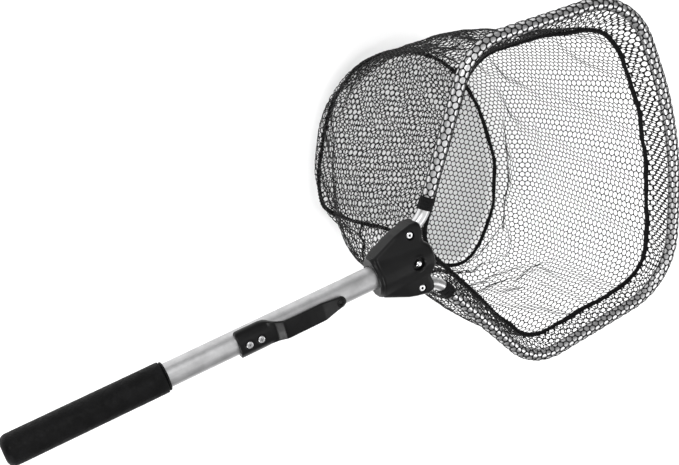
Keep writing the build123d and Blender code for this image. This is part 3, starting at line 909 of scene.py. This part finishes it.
# ---- Netting ---------------------------------------------------------------------------
HEX_RING = ((2 / 3, 0), (1 / 2, 1 / 4), (1 / 3, 1 / 2), (0, 1 / 2), (-1 / 3, 1 / 2), (-1 / 2, 1 / 4),
            (-2 / 3, 0), (-1 / 2, -1 / 4), (-1 / 3, -1 / 2), (0, -1 / 2), (1 / 3, -1 / 2), (1 / 2, -1 / 4))


def staggered_cells(rows, count, first_row=0):
    """Centres (row, place in row) of a staggered lattice; odd rows start half a cell lower."""
    cells = []
    for row in range(first_row, first_row + rows):
        shift = 0.5 if row % 2 == 0 else 0.0
        cells += [(row, j + shift) for j in range(count + (row % 2))]
    return np.array(cells, float)


def netting(name, cells, place, settings, around=0, seed=0, count=None):
    """Real netting: one ring of twine for each cell, with a soft diamond section, joined to its neighbours.

    cells are lattice centres, place turns lattice coordinates into points and normals, and
    around is the number of rows that close on themselves.
    """
    pitch, row = settings.pitch, settings.row
    ring = np.array(HEX_RING)
    spots = cells[:, None, :] + ring[None, :, :]
    keys = np.rint(spots * np.array([6, 4])).astype(np.int64)
    if around:
        keys[..., 0] %= 6 * around
    flat = keys[..., 0] * 100000 + keys[..., 1] + 50000
    unique, shared = np.unique(flat.ravel(), return_inverse=True)
    shared = shared.reshape(flat.shape)
    lattice = np.column_stack([(unique // 100000) / 6, (unique % 100000 - 50000) / 4])
    if count is not None:
        lattice[:, 1] = np.clip(lattice[:, 1], 0, count)
    sizes = np.hypot(ring[:, 0] * row, ring[:, 1] * pitch)
    hole = (pitch - settings.twine) / 2
    shrink = np.minimum(hole / sizes, 0.9)
    holes = cells[:, None, :] + ring[None] * shrink[None, :, None]
    if count is not None:
        holes[..., 1] = np.clip(holes[..., 1], 0.04, count - 0.04)
    chance = np.random.default_rng(settings.seed + seed)
    knots, facing = place(lattice[:, 0], lattice[:, 1])
    knots = knots + chance.normal(0, 0.00011, knots.shape)
    lift = settings.twine * 0.5 * chance.uniform(0.9, 1.2, len(knots))[:, None]
    edges = place(holes[..., 0].ravel(), holes[..., 1].ravel())[0]
    points = np.vstack([knots + facing * lift, knots - facing * lift, edges])
    total = len(knots)
    here, there = shared, np.roll(shared, -1, 1)
    hole_here = 2 * total + np.arange(here.size).reshape(here.shape)
    hole_there = np.roll(hole_here, -1, 1)
    upper = np.stack([here, there, hole_there, hole_here], -1).reshape(-1, 4)
    lower = np.stack([there + total, here + total, hole_here, hole_there], -1).reshape(-1, 4)
    pairs = np.stack([here, there], -1).reshape(-1, 2)
    low, high = pairs.min(1), pairs.max(1)
    code = low * np.int64(len(knots) + 1) + high
    _, back, uses = np.unique(code, return_inverse=True, return_counts=True)
    rim = pairs[uses[back.ravel()] == 1]
    rim = rim[rim[:, 0] != rim[:, 1]]
    border = np.column_stack([rim[:, 1], rim[:, 0], rim[:, 0] + total, rim[:, 1] + total])
    faces = np.vstack([upper, lower, border])
    return new_piece(name, points, faces.tolist(), smooth_angle=0)


@functools.cache
def wall_grid():
    """The settled wall, worked out once for the netting and the side seam."""
    return hung_wall(bpy.context.scene.landing_net_netting)


def hung_wall(settings):
    """The wall between rim and base seams, as a grid that has hung and settled in soft folds."""
    columns, steps = WALL_COLUMNS, WALL_STEPS
    rim = in_space(rim_line(columns), -SEAM_DROP)
    base = in_space(base_ring(columns), 0)
    base[:, 2] = BASE_TOP
    middle = (rim + base) / 2
    along = tangents(middle, True)
    out = np.column_stack([along[:, 1], -along[:, 0], np.zeros(columns)])
    out /= np.linalg.norm(out, axis=1, keepdims=True)
    depth = np.linspace(0, 1, steps)
    grid = rim[:, None, :] * (1 - depth)[None, :, None] + base[:, None, :] * depth[None, :, None]
    belly = 7 * MM * np.sin(math.pi * depth)
    grid = grid + out[:, None, :] * belly[None, :, None]
    fraction = np.arange(columns) / columns
    for sag, middle_at, reach in ((NECK_SAG, NECK_SAG_PLACE, NECK_SAG_REACH),
                                  (CHEEK_SAG, CHEEK_SAG_PLACE, CHEEK_SAG_REACH)):
        hang = np.cos(np.clip((fraction - middle_at) / reach, -1, 1) * math.pi / 2) ** 2
        slump = hang[:, None] * np.sin(math.pi * depth)[None, :] ** 0.85
        grid = grid + slump[..., None] * np.array([*sag, 0.0]) * MM
    spots = grid.reshape(-1, 3)
    ripple = soft_noise(spots * np.array([1, 1, 0.35]), 0.045, settings.seed) * 5 * MM
    ripple += soft_noise(spots * np.array([1, 1, 0.6]), 0.018, settings.seed + 2) * 1.6 * MM
    ripple = ripple.reshape(columns, steps) * np.sin(math.pi * depth)[None, :] ** 0.7
    grid = grid + out[:, None, :] * ripple[..., None]
    return settled(grid, settings)


def settled(grid, settings):
    """Lets the wall hang as slack cloth sewn to its two seams, and returns where it comes to rest."""
    columns, steps = grid.shape[:2]
    coarse = grid[::COARSE_ACROSS, ::COARSE_DOWN]
    wide, deep = coarse.shape[:2]
    cloth = new_piece("settling_cloth", coarse.reshape(-1, 3), grid_faces(wide, deep, wrap_rows=True))
    sewn = cloth.vertex_groups.new(name="sewn")
    numbers = np.arange(wide * deep).reshape(wide, deep)
    sewn.add([int(n) for n in np.concatenate([numbers[:, 0], numbers[:, -1]])], 1.0, "REPLACE")
    hanging = cloth.modifiers.new("hanging", "CLOTH").settings
    hanging.quality = 7
    hanging.mass = 0.12
    hanging.tension_stiffness = 12.0
    hanging.compression_stiffness = 4.0
    hanging.shear_stiffness = 2.0
    hanging.bending_stiffness = 0.03
    hanging.air_damping = 3.0
    hanging.vertex_group_mass = "sewn"
    hanging.shrink_min = -settings.slack
    hanging.effector_weights.gravity = settings.pull
    scene = bpy.context.scene
    for moment in range(1, SETTLING_FRAMES + 1):
        scene.frame_set(moment)
    rested = cloth.evaluated_get(bpy.context.evaluated_depsgraph_get()).data
    spots = np.array([v.co for v in rested.vertices]).reshape(wide, deep, 3)
    moved = spots - coarse
    size = np.linalg.norm(moved, axis=2, keepdims=True)
    moved *= np.minimum(1, SETTLING_LIMIT / np.maximum(size, 1e-9))
    bpy.data.objects.remove(cloth)
    scene.frame_set(1)
    move_at = surface_from(moved, True)
    u, v = np.meshgrid(np.arange(columns) / COARSE_ACROSS, np.arange(steps) / COARSE_DOWN, indexing="ij")
    return grid + move_at(u.ravel(), v.ravel())[0].reshape(grid.shape)


class LANDINGNET_OT_bag(bpy.types.Operator):
    """The bag: three lengths of wall netting and the base"""
    bl_idname = "landing_net.bag"
    bl_label = "Net Bag"

    def execute(self, context):
        settings = context.scene.landing_net_netting
        nylon = net_nylon(settings)
        grid = wall_grid()
        place = surface_from(grid, True)
        rim_length = line_length(grid[:, 0], True)
        depth = line_length(grid[0])
        rows = 2 * round(rim_length / settings.row / 2)
        count = round(depth / settings.pitch)
        columns, steps = grid.shape[:2]

        def on_wall(row, spot):
            return place(row * columns / rows, spot * (steps - 1) / count)

        lengths = np.linspace(0, rows, WALL_LENGTHS + 1).astype(int)
        lengths[1:-1] += lengths[1:-1] % 2
        for i, (start, stop) in enumerate(zip(lengths, lengths[1:])):
            cells = staggered_cells(stop - start, count, start)
            part = netting(f"bag_wall_net_{i + 1}", cells, on_wall, settings, rows, i, count)
            dress(part, nylon, "head", "net_nylon", "bag_wall_net")
        dress(self.make_base(settings), nylon, "head", "net_nylon", "bag_base_net")
        return {"FINISHED"}

    def make_base(self, settings):
        ring = base_ring(720) * MM
        ring[:, 0] += MOUTH_X
        low, high = ring.min(0), ring.max(0)
        rows = int((high[0] - low[0]) / settings.row) + 2
        count = int((high[1] - low[1]) / settings.pitch) + 2
        cells = staggered_cells(rows, count)
        ahead = np.roll(ring, -1, 0) - ring

        def inside(points):
            x, y = points[:, 0][:, None], points[:, 1][:, None]
            ay, by = ring[:, 1][None], (ring[:, 1] + ahead[:, 1])[None]
            crosses = (ay > y) != (by > y)
            where = ring[:, 0][None] + (y - ay) / np.where(by == ay, 1e-12, by - ay) * ahead[:, 0][None]
            return (crosses & (x < where)).sum(1) % 2 == 1

        def flat_point(row, spot):
            return np.column_stack([low[0] + row * settings.row, low[1] + spot * settings.pitch])

        centre_in = inside(flat_point(cells[:, 0], cells[:, 1]))
        near = np.zeros(len(cells), bool)
        for reach in HEX_RING[::2]:
            near |= inside(flat_point(cells[:, 0] + reach[0] * 0.55, cells[:, 1] + reach[1] * 0.55))
        cells = cells[centre_in | near]

        def on_base(row, spot):
            points = flat_point(np.asarray(row), np.asarray(spot))
            gap = np.linalg.norm(points[:, None, :] - ring[None, ::3, :], axis=2)
            nearest = ring[::3][gap.argmin(1)]
            outside = ~inside(points)
            points = np.where(outside[:, None], nearest, points)
            away = np.where(outside, 0, gap.min(1))
            full = np.column_stack([points, np.full(len(points), BASE_TOP)])
            dip = settings.sag * (1 - np.exp(-away / 0.03))
            dip = dip + 2.2 * MM * soft_noise(full, 0.05, settings.seed + 4) * np.minimum(away / 0.02, 1)
            full[:, 2] -= dip
            facing = np.zeros_like(full)
            facing[:, 2] = 1
            return full, facing

        base = netting("bag_base_net_cells", cells, on_base, settings, seed=9)
        return base


def sleeve_grid(settings, sections=84):
    """Netting folded round the hoop: each section runs from the rim seam over the tube and back."""
    line = sleeve_line(1.5)
    along = tangents(line, False)
    inward = np.column_stack([along[:, 1], -along[:, 0]])
    rim = rim_line(2400)
    target = line + inward * SEAM_INSET
    near = np.linalg.norm(target[:, None, :] - rim[None, :, :], axis=2).argmin(1)
    seam = rim[near]
    tube = HOOP_R / MM + 0.65
    chance = settings.seed + 11
    rows = []
    for centre, axis, foot in zip(line, inward, seam):
        foot_in = float((foot - centre) @ axis)
        drift = foot - centre - axis * foot_in
        reach = math.hypot(foot_in, SEAM_DROP)
        lean = math.atan2(-SEAM_DROP, foot_in)
        opening = math.acos(tube / reach)
        first, last = lean - opening, lean + opening - 2 * math.pi
        wrap = np.linspace(first, last, sections // 3)
        arc = np.column_stack([np.cos(wrap), np.sin(wrap)]) * tube
        foot_spot = np.array([foot_in, -SEAM_DROP])
        section = np.vstack([foot_spot, arc, foot_spot])
        section = even_points(section, False, count=sections)
        share_down = np.clip(-section[:, 1] / SEAM_DROP, 0, 1)
        flat = centre[None] + axis[None] * section[:, :1] + drift[None] * share_down[:, None] ** 1.5
        rows.append(np.column_stack([MOUTH_X + flat[:, 0] * MM, flat[:, 1] * MM, section[:, 1] * MM]))
    grid = np.array(rows)
    position = np.linspace(0, 1, sections)
    slack = sum(np.sin(math.pi * np.clip(share_in / 0.36, 0, 1)) for share_in in (position, 1 - position))
    side = np.where(position < 0.5, -1.0, 1.0)
    puff = (0.7 + 0.9 * soft_noise(grid[:, sections // 8], 0.03, chance))[:, None] * slack[None, :] * 1.3 * MM
    across = np.column_stack([inward, np.zeros(len(inward))])
    return grid + (across[:, None, :] * side[None, :, None]) * puff[..., None]


class LANDINGNET_OT_sleeve(bpy.types.Operator):
    """The netting sleeve that carries the bag on the hoop"""
    bl_idname = "landing_net.sleeve"
    bl_label = "Hoop Sleeve"

    def execute(self, context):
        settings = context.scene.landing_net_netting
        grid = sleeve_grid(settings)
        place = surface_from(grid, False)
        rows = round(line_length(grid[:, grid.shape[1] // 2]) / settings.row)
        count = round(line_length(grid[0]) / settings.pitch)

        def on_sleeve(row, spot):
            return place((np.asarray(row) + 0.5) * (grid.shape[0] - 1) / rows,
                         np.asarray(spot) * (grid.shape[1] - 1) / count)

        cells = staggered_cells(rows, count)
        sleeve = netting("sleeve_netting", cells, on_sleeve, settings, 0, 21, count)
        dress(sleeve, net_nylon(settings), "head", "net_nylon", "sleeve_net")
        return {"FINISHED"}


# ---- Seams and ties --------------------------------------------------------------------
def wound_thread(line, radius, thread, stitch, closed):
    """An overlock thread that winds round a seam."""
    per_turn = 10
    count = per_turn * max(1, round(line_length(line, closed) / stitch))
    spots = even_points(line, closed, count=count)
    side, lift = side_and_lift(tangents(spots, closed))
    angle = 2 * math.pi * np.arange(count) / per_turn
    reach = radius + thread * 0.5
    return spots + side * (np.cos(angle) * reach)[:, None] + lift * (np.sin(angle) * reach)[:, None]


class LANDINGNET_OT_seams(bpy.types.Operator):
    """Rolled tape on the rim, base and side seams, its stitching, and the ties on the arms"""
    bl_idname = "landing_net.seams"
    bl_label = "Seams and Ties"

    def execute(self, context):
        settings = context.scene.landing_net_seam
        tape = seam_tape("SeamTape", settings.colour)
        thread = seam_tape("SeamThread", scaled(settings.colour, 1.4))
        rim = in_space(rim_line(900), -SEAM_DROP)
        base = in_space(base_ring(760), 0)
        base[:, 2] = sum(corner.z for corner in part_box("base_binding")) / 2
        wall = wall_grid()
        side = wall[int(SIDE_SEAM_SHARE * len(wall))]
        side = even_points(side, False, count=220)
        self.roll("rim_tape", rim, settings, 1.0, True, "rim_binding", tape, thread, 1)
        self.roll("base_tape", base, settings, 1.0, True, "base_binding", tape, thread, 2)
        self.roll("side_tape", side, settings, 0.5, False, "side_seam", tape, thread, 3)
        self.ties(settings, tape, thread)
        return {"FINISHED"}

    def roll(self, name, line, settings, size, closed, node, tape, thread, seed):
        """A rolled seam with its thread wound round it."""
        wander = np.stack([0.5 * soft_noise(line, 0.011, seed * 3 + k)
                           + 2.0 * soft_noise(line, 0.034, seed * 5 + k)
                           for k in range(3)], 1) * MM * min(size, 1.0) ** 2
        ends = 1.0 if closed else np.sin(math.pi * np.linspace(0, 1, len(line)))[:, None]
        line = line + wander * ends
        lumps = 1 + 0.16 * soft_noise(line, 0.0045, seed) + 0.1 * soft_noise(line, 0.02, seed + 8)
        radius = settings.radius * size
        rolled = tube_along(name, line, radius * lumps, 18, closed, 0.12, 0.05)
        dress(rolled, tape, "head", "binding_tape", node)
        winding = wound_thread(line, radius, settings.thread, settings.stitch * max(size, 0.6), closed)
        stitches = tube_along(f"{name}_stitching", winding, settings.thread, 6, closed)
        dress(stitches, thread, "head", "binding_tape")

    def ties(self, settings, tape, thread):
        line = sleeve_line(1.0)
        ahead = line[1] - line[0]
        ahead /= np.linalg.norm(ahead)
        for side, name in ((1, "upper_tie"), (-1, "lower_tie")):
            start = line[0] * np.array([1, side])
            direction = ahead * np.array([1, side])
            turns, steps = 4, 48
            count = turns * steps
            s = np.linspace(0, 1, count)
            angle = s * turns * 2 * math.pi
            travel = (0.12 + 0.76 * (0.5 - 0.5 * np.cos(s * 2 * math.pi))) * settings.tie_width / MM
            travel = travel - settings.tie_width / MM
            radius = HOOP_R / MM + 0.55 + 0.35 * s
            across = np.array([-direction[1], direction[0]])
            sideways = np.cos(angle) * radius
            flat = start[None] + direction[None] * travel[:, None] + across[None] * sideways[:, None]
            winding = in_space(flat, 0)
            winding[:, 2] = np.sin(angle) * radius * MM
            band = tube_along(name, winding, 1.15 * MM, 10, False)
            core = self.gathered_core(f"{name}_gather", start, direction, settings)
            for piece, material in ((band, thread), (core, tape)):
                dress(piece, material, "head", "binding_tape", "sleeve_ties")

    def gathered_core(self, name, start, direction, settings):
        """The sleeve's end, bunched in small pleats round the arm under its tie."""
        width = settings.tie_width
        base = (MOUTH_X + start[0] * MM, start[1] * MM, 0)
        axis = (direction[0], direction[1], 0)
        profile = [(-width, HOOP_R + 0.1 * MM), (-width, HOOP_R + 0.9 * MM)]
        profile += [(x, HOOP_R + 0.9 * MM + 0.5 * MM * abs(math.sin(x / width * 6)))
                    for x in np.linspace(-width * 0.95, width * 0.35, 26)]
        profile += [(width * 0.5, HOOP_R + 0.8 * MM), (width * 0.5, HOOP_R + 0.1 * MM)]
        core = lathe(name, profile, 90, base, axis)
        points = points_of(core)
        centre = np.array(base)
        away = points - centre
        along = away @ np.array(axis)
        radial = away - along[:, None] * np.array(axis)
        turn = np.arctan2(radial[:, 2], radial @ np.array([-direction[1], direction[0], 0]))
        reach = np.linalg.norm(radial, axis=1)
        pleat = 0.28 * MM * np.sin(turn * 17 + along / MM * 0.6) * (reach > HOOP_R + 0.5 * MM)
        points += radial / reach[:, None] * pleat[:, None]
        return set_points(core, points)


# ---- Stage -----------------------------------------------------------------------------
# Name, place from the middle of the net, width and power of each light.
LIGHTS = (("Key", (-0.6, 1.3, 1.5), 0.9, 14.0), ("Side", (-1.5, -1.0, 1.05), 0.7, 14.0),
          ("Back", (1.2, -0.9, 1.4), 1.2, 8.0), ("Top", (0.1, 0.1, 2.2), 2.0, 8.0))


class LANDINGNET_OT_stage(bpy.types.Operator):
    """Pale floor, soft studio lights and the camera"""
    bl_idname = "landing_net.stage"
    bl_label = "Stage"

    def execute(self, context):
        settings = context.scene.landing_net_stage
        low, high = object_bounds()
        self.make_floor(settings, low.z - 0.004)
        self.make_lights((low + high) / 2)
        camera = bpy.data.objects.new("NetCamera", bpy.data.cameras.new("NetCamera"))
        camera.data.lens = settings.lens
        camera.data.sensor_width = 36.0
        camera.data.clip_start = 0.01
        right, up = Vector(settings.right).normalized(), Vector(settings.up).normalized()
        back = right.cross(up)
        turn = Matrix((right, up, back)).transposed().to_4x4()
        camera.matrix_world = Matrix.Translation(settings.place) @ turn
        context.scene.collection.objects.link(camera)
        context.scene.camera = camera
        context.scene.view_settings.view_transform = "Standard"
        return {"FINISHED"}

    def make_floor(self, settings, height):
        size = 40.0
        points = [(x * size, y * size, height) for x, y in ((-1, -1), (1, -1), (1, 1), (-1, 1))]
        floor = new_piece("studio_floor", points, [[0, 1, 2, 3]])
        finish = Finish("PaleFloor", settings.floor, 0.9)
        finish.vary_colour(finish.grain(1.5, 2.0), scaled(settings.floor, 0.995), settings.floor)
        paint(floor, finish.material)
        floor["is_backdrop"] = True

    def make_lights(self, centre):
        world = bpy.data.worlds.new("StudioWorld")
        bpy.context.scene.world = world
        world.use_nodes = True
        nodes, links = world.node_tree.nodes, world.node_tree.links
        background = nodes["Background"]
        background.inputs["Color"].default_value = (1, 1, 1, 1)
        ray = nodes.new("ShaderNodeLightPath")
        calm = nodes.new("ShaderNodeMapRange")
        calm.inputs["To Min"].default_value = 1.0
        calm.inputs["To Max"].default_value = 0.38
        links.new(ray.outputs["Is Glossy Ray"], calm.inputs["Value"])
        links.new(calm.outputs["Result"], background.inputs["Strength"])
        for name, offset, size, power in LIGHTS:
            light = bpy.data.objects.new(name, bpy.data.lights.new(name, "AREA"))
            light.data.shape = "DISK"
            light.data.size = size
            light.data.energy = power
            light.location = centre + Vector(offset)
            light.rotation_mode = "QUATERNION"
            light.rotation_quaternion = (-Vector(offset)).to_track_quat("-Z", "Y")
            bpy.context.scene.collection.objects.link(light)


# ---- Panel and registration ------------------------------------------------------------
class LANDINGNET_PT_panel(bpy.types.Panel):
    """Lists the pieces of the landing net and their settings"""
    bl_label = "Landing Net"
    bl_idname = "LANDINGNET_PT_panel"
    bl_space_type = "VIEW_3D"
    bl_region_type = "UI"
    bl_category = "Landing Net"

    def draw(self, context):
        for group, _, title, operators in PANEL_ROWS:
            box = self.layout.box()
            box.label(text=title)
            settings = getattr(context.scene, group)
            for name in type(settings).__annotations__:
                box.prop(settings, name)
            for operator in operators:
                box.operator(operator)


# Each row's settings on the scene, their class, the row's title and its buttons.
PANEL_ROWS = (
    ("landing_net_grip", GripSettings, "Handle", ("landing_net.handle",)),
    ("landing_net_moulding", MouldingSettings, "Mouldings", ("landing_net.clip", "landing_net.yoke")),
    ("landing_net_metal", MetalSettings, "Metal", ("landing_net.hardware",)),
    ("landing_net_netting", NettingSettings, "Netting", ("landing_net.bag", "landing_net.sleeve")),
    ("landing_net_seam", SeamSettings, "Seams", ("landing_net.seams",)),
    ("landing_net_stage", StageSettings, "Stage", ("landing_net.stage",)),
)
CLASSES = (LANDINGNET_OT_handle, LANDINGNET_OT_clip, LANDINGNET_OT_yoke, LANDINGNET_OT_hardware,
           LANDINGNET_OT_bag, LANDINGNET_OT_sleeve, LANDINGNET_OT_seams, LANDINGNET_OT_stage,
           LANDINGNET_PT_panel)


def register():
    for name, settings, _, _ in PANEL_ROWS:
        bpy.utils.register_class(settings)
        setattr(bpy.types.Scene, name, bpy.props.PointerProperty(type=settings))
    for cls in CLASSES:
        bpy.utils.register_class(cls)


def unregister():
    for cls in reversed(CLASSES):
        bpy.utils.unregister_class(cls)
    for name, settings, _, _ in PANEL_ROWS:
        delattr(bpy.types.Scene, name)
        bpy.utils.unregister_class(settings)


def main():
    register()
    bpy.ops.landing_net.handle()
    bpy.ops.landing_net.clip()
    bpy.ops.landing_net.yoke()
    bpy.ops.landing_net.hardware()
    bpy.ops.landing_net.seams()
    bpy.ops.landing_net.bag()
    bpy.ops.landing_net.sleeve()
    bpy.ops.landing_net.stage()


if __name__ == "__main__":
    main()
